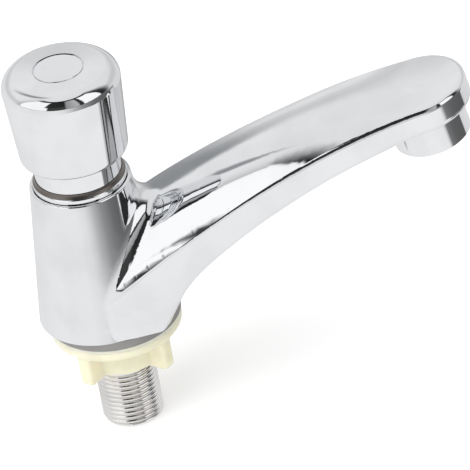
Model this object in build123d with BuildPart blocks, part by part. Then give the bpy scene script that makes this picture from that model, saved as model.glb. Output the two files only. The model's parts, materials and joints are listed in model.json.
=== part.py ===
from build123d import *
import os
from math import atan, cos, pi, radians, sin, tan

os.makedirs("parts", exist_ok=True)

# Frame: the origin is on the shank's axis in the plane of the deck, under the base gasket.
# +Z points up through the push knob and the spout points along +X. Sizes are in millimetres.

# Base and body
gasket_thickness = 3.0
gasket_lip = 0.2
head_x = -2.8
body_height = 52.5
body_base_r = 22.5
body_top_r = 17.1
rim_round = 0.7
valley_round = 6.0
under_edge_round = 2.4

# Spout, measured along X from the axis of the head and up from the body's base
spout_length = 114.3
spout_rise = 66.1
tip_r = 17.0
tip_thickness = 10.6
tip_tilt = 10.0
toe_out = 11.5
toe_back = 9.0
side_inset = 0.2
side_tuck = 1.2
side_draft = 0.6
spout_bow = 31.5
spout_arch = 16.0
tip_arch = 0.8
spout_edge_round = 1.8
start_round = 5.0
toe_r = body_base_r + toe_out
spout_base_half = body_base_r - side_inset

# Valve bores in the body, on the axis of the head: each is a ledge narrower than the one above it
thread_gap = 0.1
rim_wall = 0.85
rim_bore_depth = 4.0
rim_ledge = 0.65
seal_groove = 1.3
chamber_ledge = 1.0
seat_ledge = 2.2
rim_bore_r = body_top_r - rim_wall
seal_step_r = rim_bore_r - rim_ledge
bonnet_bore_r = seal_step_r - seal_groove
chamber_r = bonnet_bore_r - chamber_ledge
seat_bore_r = chamber_r - seat_ledge
bonnet_bottom_z = 36.0
cage_height = 8.0
seat_height = 4.0
inlet_chamber_r = 9.0
inlet_floor_z = 12.0

# Bonnet and collar
flange_gap = 0.35
bonnet_ledge = 1.3
cylinder_wall = 2.2
bonnet_flange_r = rim_bore_r - flange_gap
bonnet_flange_height = 3.0
neck_r = bonnet_flange_r - bonnet_ledge
neck_top_z = 80.0
cylinder_r = bonnet_bore_r - thread_gap - cylinder_wall
bonnet_roof = 9.0
bush_r = 5.95
bush_height = 5.0
bush_ledge_r = 4.6
bush_ledge = 1.6
collar_gap = 0.3
collar_r = rim_bore_r - collar_gap
collar_height = 4.3
collar_lip = 0.25
collar_side = 2.5

# Push knob
knob_top_z = 99.2
knob_wall = 1.9
knob_flare = 1.6
knob_cavity = 1.8
knob_cavity_r = neck_r + knob_cavity
knob_bottom_r = knob_cavity_r + knob_wall
knob_top_r = knob_bottom_r + knob_flare
knob_edge_round = 5.0
knob_shoulder = 2.2
knob_crown = 0.5
knob_wall_top = 4.4
knob_lip_height = 2.7
running_gap = 0.08
push_travel = 7.0
pushed_gap = 0.5
disc_r = 8.3
disc_gap = 0.5
disc_thickness = 1.0
boss_r = 6.0
boss_length = 6.8
screw_head_r = 4.2
screw_head_height = 1.6
screw_r = 2.4
screw_length = 9.0

# Spindle, piston and valve
spindle_r = 4.0
stem_r = 3.0
piston_top_z = 49.0
piston_height = 3.0
seal_height = 2.4
washer_r = 7.5
washer_height = 3.0
stem_nut_r = 3.5
stem_nut_height = 2.5
circlip_r = 5.2
circlip_height = 0.8
seat_r = 6.5

# Return spring
spring_wire_r = 0.65
spring_r = 10.2
spring_turns = 4.5
plate_height = 0.8
plate_r = 12.4

# Shank and its thread: half inch parallel pipe, 14 turns to the inch
thread_r = 10.4775
thread_pitch = 1.814
thread_depth = 1.15
crest_flat = 0.35
root_flat = 0.25
upper_thread_r = 10.3
spigot_r = 10.0
spigot_start = 1.0
shank_length = 41.0
shank_bore_r = 7.5
shank_chamfer = 0.9
shank_seal_height = 1.5
shank_gap = 0.1

# Back nut and its slip washer
washer_thickness = 1.2
nut_height = 16.5
flange_r = 22.4
flange_height = 4.0
hub_r = 14.2
nut_bore_gap = 0.08
wing_count = 4
wing_reach = 20.8
wing_width = 4.8
wing_angle = -131.0
wing_round = 1.4

# Aerator, on an axis square to the tip's underside
aerator_shift = 2.0
aerator_r = 13.1
aerator_drop = 11.0
aerator_thread_r = 11.9
aerator_thread_length = 6.0
aerator_wall = 0.9
aerator_mouth_r = 10.2
aerator_lip = 1.0
mesh_thickness = 0.4
mesh_gap = 0.6
insert_height = 5.5
aerator_washer_height = 1.5
aerator_bevel = 0.5
aerator_washer_width = 2.6
shoulder_gap = 0.3
outlet_ring_r = 8.3
outlet_inner_r = 4.4
outlet_slots = 16
outlet_slot_length = 2.6
outlet_slot_width = 0.9
screen_rim = 1.0
screen_pitch = 1.6
screen_hole = 1.1
screen_count = 11

# Small clearances, walls and holes inside the valve
o_ring_gap = 0.04
bush_gap = 0.05
neck_chamfer = 0.8
cove_r = 2.6
seat_groove_low = 1.2
seat_groove_high = 2.8
seat_groove_r = seat_bore_r - 1.4
cage_inner_r = inlet_chamber_r
cage_rim = 1.5
cage_windows = 6
cage_window_width = 6.0
disc_edge_round = 0.25
screw_slot = 1.0
stem_tip_r = 2.0
clip_groove = 0.5
piston_gap = 0.1
bleed_reach = 7.5
bleed_r = 0.8
bleed_gap = 0.1
needle_head_r = 1.5
needle_head_height = 0.8
seal_skin = 0.9
seal_web = 0.6
strainer_height = 3.0
strainer_floor = 0.8
strainer_rim = 0.9
strainer_pitch = 2.4
strainer_hole_r = 0.75

# Heights that follow from the sizes above
base_z = gasket_thickness
body_top_z = base_z + body_height
flange_seat_z = body_top_z - rim_bore_depth
seat_top_z = bonnet_bottom_z - cage_height
seat_bottom_z = seat_top_z - seat_height
bonnet_flange_top_z = flange_seat_z + bonnet_flange_height
collar_top_z = bonnet_flange_top_z + collar_height
knob_bottom_z = collar_top_z + push_travel + pushed_gap
knob_roof_z = knob_top_z - knob_wall_top
spring_bottom_z = neck_top_z
spring_top_z = knob_roof_z - plate_height
shank_top_z = inlet_floor_z - shank_seal_height

head_axis = Axis((head_x, 0, 0), (0, 0, 1))
head_plane = Plane((head_x, 0, 0), x_dir=(1, 0, 0), z_dir=(0, -1, 0))
back_plane = Plane((head_x, 0, 0), x_dir=(-1, 0, 0), z_dir=(0, 1, 0))
shank_plane = Plane.XZ

# Distance within which a point counts as lying on a face
near = 0.04

# Spout: tip, underside and waterway
tip_x = head_x + spout_length
tip_top_z = base_z + spout_rise
toe_slope = (0.5, 1)
tip_slope = radians(tip_tilt)
tip_along = (cos(tip_slope), 0, sin(tip_slope))
tip_up = (-sin(tip_slope), 0, cos(tip_slope))
tip_along_flat = (cos(tip_slope), sin(tip_slope))
tip_half_plane = Plane(
    (tip_x, 0, tip_top_z),
    x_dir=(0, -1, 0),
    z_dir=(-cos(tip_slope), 0, -sin(tip_slope)),
)
section_depth = 1.2 * spout_rise

# Underside of the spout: it is turned about an axis a little behind the head's and given as
# (reach from that axis, height). It leaves the toe of the base steeply, sweeps forward and runs
# parallel to the top at the tip.
toe_axis = Axis((head_x - toe_back, 0, 0), (0, 0, 1))
toe_plane = Plane((head_x - toe_back, 0, 0), x_dir=(1, 0, 0), z_dir=(0, -1, 0))
tip_under_z = tip_top_z - tip_thickness
tip_reach = toe_back + spout_length
under_points = [
    (toe_r, base_z),
    (0.363 * tip_reach, 0.345 * tip_under_z),
    (0.447 * tip_reach, 0.492 * tip_under_z),
    (0.55 * tip_reach, 0.631 * tip_under_z),
    (0.665 * tip_reach, 0.757 * tip_under_z),
    (0.82 * tip_reach, 0.889 * tip_under_z),
    (0.92 * tip_reach, 0.956 * tip_under_z),
    (tip_reach + aerator_shift, tip_under_z + aerator_shift * tan(tip_slope)),
]
under_end_reach = 1.4 * spout_length
under_end = (under_end_reach, tip_under_z + (under_end_reach - tip_reach) * tan(tip_slope))

# Waterway stations: reach, middle height, half height and half width
waterway = [
    (0.05, 32.0, 3.4, 9.0),
    (0.14, 31.0, 4.0, 11.5),
    (0.26, 32.5, 6.0, 13.5),
    (0.38, 39.2, 6.6, 14.0),
    (0.54, 48.0, 5.4, 14.5),
    (0.74, 57.0, 3.8, 13.0),
    (0.85, 60.0, 3.2, 11.0),
    (0.95, 62.0, 2.6, 9.0),
]

aerator_x = tip_x + aerator_shift * cos(tip_slope)
aerator_z = under_points[-1][1]
aerator_plane = Plane((aerator_x, 0, aerator_z), x_dir=tip_along, z_dir=(0, -1, 0))
socket_depth = aerator_thread_length + aerator_washer_height + thread_gap
socket_r = aerator_thread_r + thread_gap
spot_r = aerator_r + shoulder_gap
spot_depth = 0.3 * aerator_drop

# Stations of the spout's sections, as shares of its length from the head's axis to the tip's centre
spout_stations = [0.0, 0.05, 0.12, 0.20, 0.30, 0.43, 0.57, 0.71, 0.84, 0.93, 1.0]


def write(piece, name):
    """Label a finished piece and write its file."""
    piece.part.label = name
    export_step(piece.part, "parts/" + name + ".step")


def turned(name, outline, plane=head_plane):
    """Turn a closed outline of (radius, height) points about the plane's upright axis."""
    with BuildPart() as piece:
        with BuildSketch(plane):
            with BuildLine():
                Polyline(outline, close=True)
            make_face()
        revolve(axis=Axis(plane.origin, plane.y_dir))
    write(piece, name)


def ring(name, inner_r, outer_r, bottom, top, plane=head_plane):
    """A plain ring between two heights."""
    turned(name, [(inner_r, bottom), (outer_r, bottom), (outer_r, top), (inner_r, top)], plane)


def o_ring(name, middle_r, wire_r, height, plane=head_plane):
    """A round rubber ring."""
    with BuildPart() as piece:
        with BuildSketch(plane):
            with Locations((middle_r, height)):
                Circle(wire_r)
        revolve(axis=Axis(plane.origin, plane.y_dir))
    write(piece, name)


def on_body_wall(edge):
    """True for the seams where the spout leaves the body's tapered wall."""
    middle = edge.position_at(0.5)
    reach = ((middle.X - head_x) ** 2 + middle.Y**2) ** 0.5
    share = (middle.Z - base_z) / body_height
    wall = body_base_r + share * (body_top_r - body_base_r)
    return near < share < 1 - near and abs(reach - wall) < near


def on_under_edge(edge):
    """True for the long lower edges of the spout, where its sides meet the underside."""
    middle = edge.position_at(0.5)
    long_enough = edge.length > 0.7 * spout_length
    return long_enough and abs(middle.Y) > tip_r and middle.Z < 0.6 * tip_top_z


def on_rim(edge):
    """True for the outer edge of the body's top."""
    return edge.geom_type == GeomType.CIRCLE and abs(edge.center().Z - body_top_z) < near


def on_wing_corner(edge):
    """True for the outer and lower corners of the back nut's wings."""
    middle = edge.position_at(0.5)
    reach = (middle.X**2 + middle.Y**2) ** 0.5
    return reach > hub_r + wing_round and middle.Z < -washer_thickness - flange_height - near


def spout_section(share):
    """Top height, half width, arch height, edge round, side draft and tilt at a share of the spout's length.

    Where the spout starts, its sides lean as the body's wall does and stand a little inside it.
    """
    left = 1 - share
    wall_lean = (body_base_r - body_top_r) / body_height
    arch = tip_arch + spout_arch * left
    edge_z = tip_top_z - tip_arch - spout_length * tan(tip_slope) * left - spout_bow * left**2
    half = tip_r + (spout_base_half - tip_r) * (1 - share**2) ** 1.2 - side_tuck * left**16
    edge = spout_edge_round + start_round * left**12
    draft = side_draft * share * left**2 - wall_lean * left**16
    return edge_z + arch, half, arch, edge, draft, tip_slope * share


def section_corners(half, arch, edge, draft):
    """Radius of a section's arch, and its right-hand corners: end of the arch, top and foot of the side."""
    lean = atan(draft)
    arch_r = (half**2 + arch**2) / (2 * arch)
    round_x = half - edge * cos(lean)
    round_y = ((arch_r - edge) ** 2 - round_x**2) ** 0.5 - arch_r
    stretch = arch_r / (arch_r - edge)
    arch_end = (stretch * round_x, stretch * (round_y + arch_r) - arch_r)
    side = (half, round_y - edge * sin(lean))
    foot = (half - draft * (section_depth + side[1]), -section_depth)
    return arch_r, arch_end, side, foot


# Tap body: one casting with the spout
with BuildPart() as tap_body:
    with BuildSketch(back_plane):
        with BuildLine():
            Polyline(
                (0, base_z),
                (body_base_r, base_z),
                (body_top_r, body_top_z),
                (0, body_top_z),
                close=True,
            )
        make_face()
    revolve(axis=head_axis)
    for share in spout_stations:
        top, half, arch, edge, draft, angle = spout_section(share)
        arch_r, arch_end, side, foot = section_corners(half, arch, edge, draft)
        place = Plane(
            (head_x + share * spout_length, 0, top),
            x_dir=(0, 1, 0),
            z_dir=(cos(angle), 0, sin(angle)),
        )
        with BuildSketch(place):
            with BuildLine():
                Line((-foot[0], foot[1]), (-side[0], side[1]))
                RadiusArc((-side[0], side[1]), (-arch_end[0], arch_end[1]), edge)
                RadiusArc((-arch_end[0], arch_end[1]), arch_end, arch_r)
                RadiusArc(arch_end, side, edge)
                Line(side, foot)
                Line(foot, (-foot[0], foot[1]))
            make_face()
    loft()
    with BuildSketch(tip_half_plane):
        with BuildLine():
            RadiusArc((0, 0), arch_end, arch_r)
            RadiusArc(arch_end, side, edge)
            Line(side, foot)
            Line(foot, (0, -section_depth))
            Line((0, -section_depth), (0, 0))
        make_face()
    revolve(axis=Axis(tip_half_plane.origin, tip_up), revolution_arc=180)
    with BuildSketch(toe_plane):
        with BuildLine():
            Spline(under_points, tangents=[toe_slope, tip_along_flat])
            Line(under_points[-1], under_end)
            Polyline(under_end, (under_end[0], -section_depth), (toe_r, -section_depth), under_points[0])
        make_face()
    revolve(axis=toe_axis, mode=Mode.SUBTRACT)
    split(bisect_by=Plane.XY.offset(base_z), keep=Keep.TOP)
    fillet(tap_body.edges().filter_by(GeomType.BSPLINE).filter_by(on_body_wall), radius=valley_round)
    fillet(tap_body.edges().filter_by(on_under_edge), radius=under_edge_round)
    fillet(tap_body.edges().filter_by(on_rim), radius=rim_round)
    # Valve bores down the head's axis
    with BuildSketch(head_plane):
        with BuildLine():
            Polyline(
                (0, body_top_z + 1),
                (rim_bore_r, body_top_z + 1),
                (rim_bore_r, flange_seat_z),
                (seal_step_r, flange_seat_z),
                (seal_step_r, flange_seat_z - seal_groove),
                (bonnet_bore_r, flange_seat_z - seal_groove),
                (bonnet_bore_r, bonnet_bottom_z),
                (chamber_r, bonnet_bottom_z),
                (chamber_r, seat_top_z),
                (seat_bore_r, seat_top_z),
                (seat_bore_r, seat_bottom_z),
                (inlet_chamber_r, seat_bottom_z),
                (inlet_chamber_r, inlet_floor_z),
                (0, inlet_floor_z),
                close=True,
            )
        make_face()
    revolve(axis=head_axis, mode=Mode.SUBTRACT)
    # Socket for the shank
    with BuildSketch(Plane.XY.offset(base_z)):
        Circle(spigot_r + shank_gap)
    extrude(amount=inlet_floor_z - base_z, mode=Mode.SUBTRACT)
    # Waterway from the valve chamber to the tip
    for reach, middle, half_height, half_width in waterway:
        with BuildSketch(Plane((head_x + reach * spout_length, 0, middle), x_dir=(0, 1, 0), z_dir=(1, 0, 0))):
            RectangleRounded(2 * half_width, 2 * half_height, 0.8 * half_height)
    loft(mode=Mode.SUBTRACT)
    with BuildSketch(aerator_plane):
        with BuildLine():
            Polyline(
                (0, -spot_depth),
                (spot_r, -spot_depth),
                (spot_r, 0),
                (socket_r, 0),
                (socket_r, socket_depth),
                (0, socket_depth),
                close=True,
            )
        make_face()
    revolve(axis=Axis(aerator_plane.origin, tip_up), mode=Mode.SUBTRACT)
write(tap_body, "tap_body")

# Shank: a threaded pipe with the bore for the water
turn_count = int((shank_length + base_z - shank_chamfer) / thread_pitch)
flank = (thread_pitch - crest_flat - root_flat) / 2
thread_outline = [(shank_bore_r, -shank_length), (thread_r - thread_depth, -shank_length)]
for turn in range(turn_count):
    low = -shank_length + shank_chamfer + turn * thread_pitch
    crest_r = thread_r if low + thread_pitch < -nut_height else upper_thread_r
    root_r = thread_r - thread_depth
    thread_outline += [
        (root_r, low),
        (crest_r, low + flank),
        (crest_r, low + flank + crest_flat),
        (root_r, low + 2 * flank + crest_flat),
    ]
thread_outline += [
    (thread_r - thread_depth, base_z + spigot_start),
    (spigot_r, base_z + spigot_start),
    (spigot_r, shank_top_z),
    (shank_bore_r, shank_top_z),
]
turned("shank", thread_outline, shank_plane)
ring("shank_seal", shank_bore_r, spigot_r, shank_top_z, inlet_floor_z, shank_plane)

# Inlet strainer: a perforated disc standing in the shank's bore
with BuildPart() as inlet_strainer:
    with BuildSketch():
        Circle(shank_bore_r - running_gap)
    extrude(amount=strainer_height)
    with BuildSketch(Plane.XY.offset(strainer_floor)):
        Circle(shank_bore_r - strainer_rim)
    extrude(amount=strainer_height - strainer_floor, mode=Mode.SUBTRACT)
    with BuildSketch():
        with HexLocations(strainer_pitch / 2, 5, 5):
            Circle(strainer_hole_r)
        Circle(shank_bore_r - strainer_rim - strainer_hole_r, mode=Mode.INTERSECT)
    extrude(amount=strainer_height, mode=Mode.SUBTRACT)
write(inlet_strainer, "inlet_strainer")

# Base gasket: a thick rubber disc round the shank
ring("base_gasket", thread_r + 3 * shank_gap, flange_r + gasket_lip, 0, gasket_thickness, shank_plane)

# Slip washer and winged back nut, run up against the gasket
nut_bore_r = thread_r + nut_bore_gap
ring("slip_washer", nut_bore_r, flange_r, -washer_thickness, 0, shank_plane)
with BuildPart() as back_nut:
    with BuildSketch(Plane.XY.offset(-washer_thickness - flange_height)):
        Circle(flange_r)
    extrude(amount=flange_height)
    fillet(back_nut.edges().group_by(Axis.Z)[0], radius=0.3 * flange_height)
    with BuildSketch(Plane.XY.offset(-nut_height)):
        Circle(hub_r)
    extrude(amount=nut_height - washer_thickness)
    with BuildSketch(Plane.XY.offset(-nut_height)):
        for wing in range(wing_count):
            with Locations(Rotation(0, 0, wing_angle + wing * 360 / wing_count) * Pos(wing_reach / 2, 0)):
                Rectangle(wing_reach, wing_width)
    extrude(amount=nut_height - washer_thickness - flange_height / 2)
    fillet(back_nut.edges().filter_by(on_wing_corner), radius=wing_round)
    with BuildSketch(Plane.XY.offset(-nut_height - 1)):
        Circle(nut_bore_r)
    extrude(amount=nut_height + 2, mode=Mode.SUBTRACT)
write(back_nut, "back_nut")

# Valve seat with its ring, and the cage that holds it down
turned("valve_seat", [
    (seat_r, seat_bottom_z),
    (seat_bore_r - thread_gap, seat_bottom_z),
    (seat_bore_r - thread_gap, seat_bottom_z + seat_groove_low),
    (seat_groove_r, seat_bottom_z + seat_groove_low),
    (seat_groove_r, seat_bottom_z + seat_groove_high),
    (seat_bore_r - thread_gap, seat_bottom_z + seat_groove_high),
    (seat_bore_r - thread_gap, seat_top_z),
    (seat_r, seat_top_z),
])
seat_ring_wire = (seat_bore_r - seat_groove_r) / 2 - o_ring_gap
o_ring("seat_o_ring", (seat_bore_r + seat_groove_r) / 2, seat_ring_wire, seat_bottom_z + seat_height / 2)

with BuildPart() as valve_cage:
    with BuildSketch(Plane((head_x, 0, seat_top_z))):
        Circle(chamber_r - thread_gap)
        Circle(cage_inner_r, mode=Mode.SUBTRACT)
    extrude(amount=cage_height)
    with BuildSketch(Plane((head_x, 0, seat_top_z + cage_rim))):
        with PolarLocations(chamber_r, cage_windows):
            Rectangle(cage_inner_r, cage_window_width)
    extrude(amount=cage_height - 2 * cage_rim, mode=Mode.SUBTRACT)
write(valve_cage, "valve_cage")

# Bonnet: screws into the body, carries the neck and holds the piston's cylinder
bonnet_thread_r = bonnet_bore_r - thread_gap
bush_bore_r = bush_r + bush_gap
bonnet_roof_z = neck_top_z - bonnet_roof
turned("bonnet", [
    (cylinder_r, bonnet_bottom_z),
    (bonnet_thread_r, bonnet_bottom_z),
    (bonnet_thread_r, flange_seat_z),
    (bonnet_flange_r, flange_seat_z),
    (bonnet_flange_r, bonnet_flange_top_z),
    (neck_r, bonnet_flange_top_z),
    (neck_r, neck_top_z - neck_chamfer),
    (neck_r - neck_chamfer, neck_top_z),
    (bush_bore_r, neck_top_z),
    (bush_bore_r, bonnet_roof_z + bush_ledge),
    (bush_ledge_r, bonnet_roof_z + bush_ledge),
    (bush_ledge_r, bonnet_roof_z),
    (cylinder_r, bonnet_roof_z),
])
bonnet_ring_wire = (seal_step_r - bonnet_bore_r) / 2 - o_ring_gap
o_ring(
    "bonnet_o_ring",
    (seal_step_r + bonnet_bore_r) / 2,
    bonnet_ring_wire,
    flange_seat_z - seal_groove / 2,
)
ring("guide_bush", spindle_r + running_gap, bush_r, neck_top_z - bush_height, neck_top_z)
spindle_ring_wire = (bush_bore_r - spindle_r) / 2 - o_ring_gap
o_ring(
    "spindle_o_ring",
    (bush_bore_r + spindle_r) / 2,
    spindle_ring_wire,
    bonnet_roof_z + bush_ledge + spindle_ring_wire + o_ring_gap,
)

# Collar ring: a trim ring with a cove, standing in the body's rim
with BuildPart() as collar_ring:
    with BuildSketch(head_plane):
        with BuildLine():
            Polyline(
                (neck_r + collar_lip, collar_top_z),
                (neck_r + running_gap, collar_top_z),
                (neck_r + running_gap, bonnet_flange_top_z),
                (collar_r, bonnet_flange_top_z),
                (collar_r, bonnet_flange_top_z + collar_side),
            )
            RadiusArc(
                (collar_r, bonnet_flange_top_z + collar_side),
                (neck_r + collar_lip, collar_top_z),
                cove_r,
            )
        make_face()
    revolve(axis=head_axis)
write(collar_ring, "collar_ring")

# Push knob: a shell with a socket for the spindle and a recess for the index disc
knob_side_top_z = knob_top_z - knob_crown - knob_edge_round
recess_floor_z = knob_top_z - disc_thickness
screw_floor_z = recess_floor_z - screw_head_height
boss_bottom_z = knob_roof_z - boss_length
with BuildPart() as push_knob:
    with BuildSketch(head_plane):
        with BuildLine():
            Polyline(
                (screw_r + thread_gap, knob_roof_z),
                (screw_r + thread_gap, screw_floor_z),
                (screw_head_r + thread_gap, screw_floor_z),
                (screw_head_r + thread_gap, recess_floor_z),
                (disc_r + disc_gap, recess_floor_z),
                (disc_r + disc_gap, knob_top_z),
                (knob_top_r - knob_edge_round, knob_top_z - knob_crown),
            )
            RadiusArc(
                (knob_top_r - knob_edge_round, knob_top_z - knob_crown),
                (knob_top_r, knob_side_top_z),
                knob_edge_round,
            )
            Line((knob_top_r, knob_side_top_z), (knob_bottom_r, knob_bottom_z + knob_shoulder))
            RadiusArc(
                (knob_bottom_r, knob_bottom_z + knob_shoulder),
                (knob_bottom_r - knob_shoulder, knob_bottom_z),
                knob_shoulder,
            )
            Polyline(
                (knob_bottom_r - knob_shoulder, knob_bottom_z),
                (neck_r + running_gap, knob_bottom_z),
                (neck_r + running_gap, knob_bottom_z + knob_lip_height),
                (knob_cavity_r, knob_bottom_z + knob_lip_height + knob_cavity_r - neck_r),
                (knob_cavity_r, knob_roof_z),
                (boss_r, knob_roof_z),
                (boss_r, boss_bottom_z),
                (spindle_r + running_gap, boss_bottom_z),
                (spindle_r + running_gap, knob_roof_z),
                (screw_r + thread_gap, knob_roof_z),
            )
        make_face()
    revolve(axis=head_axis)
write(push_knob, "push_knob")

with BuildPart() as index_disc:
    with BuildSketch(Plane((head_x, 0, recess_floor_z))):
        Circle(disc_r)
    extrude(amount=disc_thickness)
    fillet(index_disc.edges().group_by(Axis.Z)[-1], radius=disc_edge_round)
write(index_disc, "index_disc")

screw_tip_z = screw_floor_z - screw_length
with BuildPart() as knob_screw:
    with BuildSketch(Plane((head_x, 0, screw_tip_z))):
        Circle(screw_r)
    extrude(amount=screw_length)
    with BuildSketch(Plane((head_x, 0, screw_floor_z))):
        Circle(screw_head_r)
    extrude(amount=screw_head_height)
    with BuildSketch(Plane((head_x, 0, recess_floor_z))):
        Rectangle(1.6 * screw_head_r, screw_slot)
        Rectangle(screw_slot, 1.6 * screw_head_r)
    extrude(amount=-0.6 * screw_head_height, mode=Mode.SUBTRACT)
write(knob_screw, "knob_screw")

# Return spring between the bonnet's top and the slip plate under the knob
ring("slip_plate", boss_r + running_gap, plate_r, spring_top_z, knob_roof_z)
spring_length = spring_top_z - spring_bottom_z - 2 * spring_wire_r - 2 * o_ring_gap
spring_start_z = spring_bottom_z + spring_wire_r + o_ring_gap
with BuildPart() as return_spring:
    with BuildLine():
        coil = Helix(
            pitch=spring_length / spring_turns,
            height=spring_length,
            radius=spring_r,
            center=(head_x, 0, spring_start_z),
        )
    with BuildSketch(Plane(coil @ 0, z_dir=coil % 0)):
        Circle(spring_wire_r)
    sweep(path=coil, is_frenet=True)
write(return_spring, "return_spring")
print("least gap between the spring's turns", round(spring_length / spring_turns - 2 * spring_wire_r, 2))
print("spring volume", round(return_spring.part.volume, 1), "wire", round(coil.length * pi * spring_wire_r**2, 1))

# Spindle: a rod that steps down to the valve's stem
spindle_top_z = knob_roof_z
piston_low_z = piston_top_z - piston_height
clip_top_z = piston_low_z - seal_height
valve_top_z = seat_bottom_z
valve_low_z = valve_top_z - washer_height
stem_end_z = valve_low_z - stem_nut_height
stem_shoulder_z = valve_top_z
turned("spindle", [
    (0, stem_end_z),
    (stem_tip_r, stem_end_z),
    (stem_tip_r, stem_shoulder_z),
    (stem_r, stem_shoulder_z),
    (stem_r, clip_top_z - circlip_height),
    (stem_r - clip_groove, clip_top_z - circlip_height),
    (stem_r - clip_groove, clip_top_z),
    (stem_r, clip_top_z),
    (stem_r, piston_top_z),
    (spindle_r, piston_top_z),
    (spindle_r, spindle_top_z),
    (screw_r + thread_gap, spindle_top_z),
    (screw_r + thread_gap, screw_tip_z - 1),
    (0, screw_tip_z - 1),
])

# Piston with its cup seal, the bleed needle that times the closing, and the clip under them
piston_r = cylinder_r - piston_gap
with BuildPart() as piston:
    with BuildSketch(Plane((head_x, 0, piston_low_z))):
        Circle(piston_r)
        Circle(stem_r + running_gap, mode=Mode.SUBTRACT)
        with Locations((0, bleed_reach)):
            Circle(bleed_r, mode=Mode.SUBTRACT)
    extrude(amount=piston_height)
write(piston, "piston")
turned("cup_seal", [
    (stem_r + running_gap, clip_top_z + seal_skin),
    (stem_r + running_gap, piston_low_z),
    (piston_r, piston_low_z),
    (piston_r, clip_top_z),
    (piston_r - seal_skin, clip_top_z),
    (bleed_reach + 2 * bleed_r, clip_top_z + seal_skin),
    (bleed_reach + bleed_r, piston_low_z - seal_web),
    (bleed_reach - bleed_r, piston_low_z - seal_web),
    (bleed_reach - 2 * bleed_r, clip_top_z + seal_skin),
])
with BuildPart() as bleed_needle:
    with BuildSketch(Plane((head_x, bleed_reach, piston_low_z))):
        Circle(bleed_r - bleed_gap)
    extrude(amount=piston_height)
    with BuildSketch(Plane((head_x, bleed_reach, piston_top_z))):
        Circle(needle_head_r)
    extrude(amount=needle_head_height)
write(bleed_needle, "bleed_needle")
ring("stem_clip", stem_r - clip_groove, circlip_r, clip_top_z - circlip_height, clip_top_z)
ring("valve_washer", stem_tip_r, washer_r, valve_low_z, valve_top_z)
with BuildPart() as stem_nut:
    with BuildSketch(Plane((head_x, 0, stem_end_z))):
        RegularPolygon(stem_nut_r, 6)
        Circle(stem_tip_r, mode=Mode.SUBTRACT)
    extrude(amount=stem_nut_height)
write(stem_nut, "stem_nut")

# Aerator: a screwed ring, its rubber washer, the slotted insert and two screens
housing_low = -aerator_drop
turned("aerator_housing", [
    (aerator_mouth_r, housing_low),
    (aerator_r - aerator_bevel, housing_low),
    (aerator_r, housing_low + aerator_bevel),
    (aerator_r, -shoulder_gap),
    (aerator_thread_r, -shoulder_gap),
    (aerator_thread_r, aerator_thread_length),
    (aerator_thread_r - aerator_wall, aerator_thread_length),
    (aerator_thread_r - aerator_wall, housing_low + aerator_lip),
    (aerator_mouth_r, housing_low + aerator_lip),
], aerator_plane)
ring(
    "aerator_washer",
    aerator_thread_r - aerator_washer_width,
    aerator_thread_r,
    aerator_thread_length,
    aerator_thread_length + aerator_washer_height,
    aerator_plane,
)
insert_r = aerator_thread_r - aerator_wall - running_gap
insert_low = housing_low + aerator_lip
outlet_plane = Plane(
    Vector(aerator_plane.origin) + Vector(tip_up) * insert_low,
    x_dir=tip_along,
    z_dir=tip_up,
)
with BuildPart() as aerator_insert:
    with BuildSketch(outlet_plane):
        Circle(insert_r)
    extrude(amount=insert_height)
    with BuildSketch(outlet_plane):
        with PolarLocations(outlet_ring_r, outlet_slots):
            Rectangle(outlet_slot_length, outlet_slot_width)
        with PolarLocations(outlet_inner_r, outlet_slots // 2):
            Rectangle(outlet_slot_length, outlet_slot_width)
    extrude(amount=insert_height, mode=Mode.SUBTRACT)
write(aerator_insert, "aerator_insert")

with BuildPart() as aerator_screens:
    for layer in range(2):
        height = insert_height + layer * (mesh_thickness + mesh_gap)
        with BuildSketch(outlet_plane.offset(height)):
            Circle(insert_r)
            Circle(insert_r - screen_rim, mode=Mode.SUBTRACT)
        extrude(amount=mesh_thickness + mesh_gap * (1 - layer))
        with BuildSketch(outlet_plane.offset(height)):
            Circle(insert_r - screen_rim)
            with GridLocations(screen_pitch, screen_pitch, screen_count, screen_count):
                Rectangle(screen_hole, screen_hole, mode=Mode.SUBTRACT)
        extrude(amount=mesh_thickness)
write(aerator_screens, "aerator_screens")
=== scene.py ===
import json
from math import cos, pi, radians, sin

import bmesh
import bpy
from mathutils import Matrix, Vector


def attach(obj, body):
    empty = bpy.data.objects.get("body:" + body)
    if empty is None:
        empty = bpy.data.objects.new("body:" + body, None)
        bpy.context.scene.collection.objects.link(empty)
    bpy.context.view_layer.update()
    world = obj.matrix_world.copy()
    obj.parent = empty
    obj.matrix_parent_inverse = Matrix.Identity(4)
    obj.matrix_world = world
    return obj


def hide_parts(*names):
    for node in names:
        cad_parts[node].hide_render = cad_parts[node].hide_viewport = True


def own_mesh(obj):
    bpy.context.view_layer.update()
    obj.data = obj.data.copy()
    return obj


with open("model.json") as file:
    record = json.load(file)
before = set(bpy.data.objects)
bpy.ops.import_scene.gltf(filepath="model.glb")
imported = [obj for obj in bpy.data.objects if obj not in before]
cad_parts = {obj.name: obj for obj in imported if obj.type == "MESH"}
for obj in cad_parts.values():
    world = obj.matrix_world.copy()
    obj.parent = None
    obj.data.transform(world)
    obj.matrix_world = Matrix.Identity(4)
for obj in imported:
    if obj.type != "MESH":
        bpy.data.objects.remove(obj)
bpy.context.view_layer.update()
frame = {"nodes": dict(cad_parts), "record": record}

bl_info = {
    "name": "Push Timed Tap",
    "version": (1, 0, 0),
    "blender": (4, 5, 0),
    "location": "View3D > Sidebar > Tap",
    "description": "Finishes the pieces of a self-closing basin tap and sets up its studio",
    "category": "Object",
}

merge_distance = 1e-6


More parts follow.
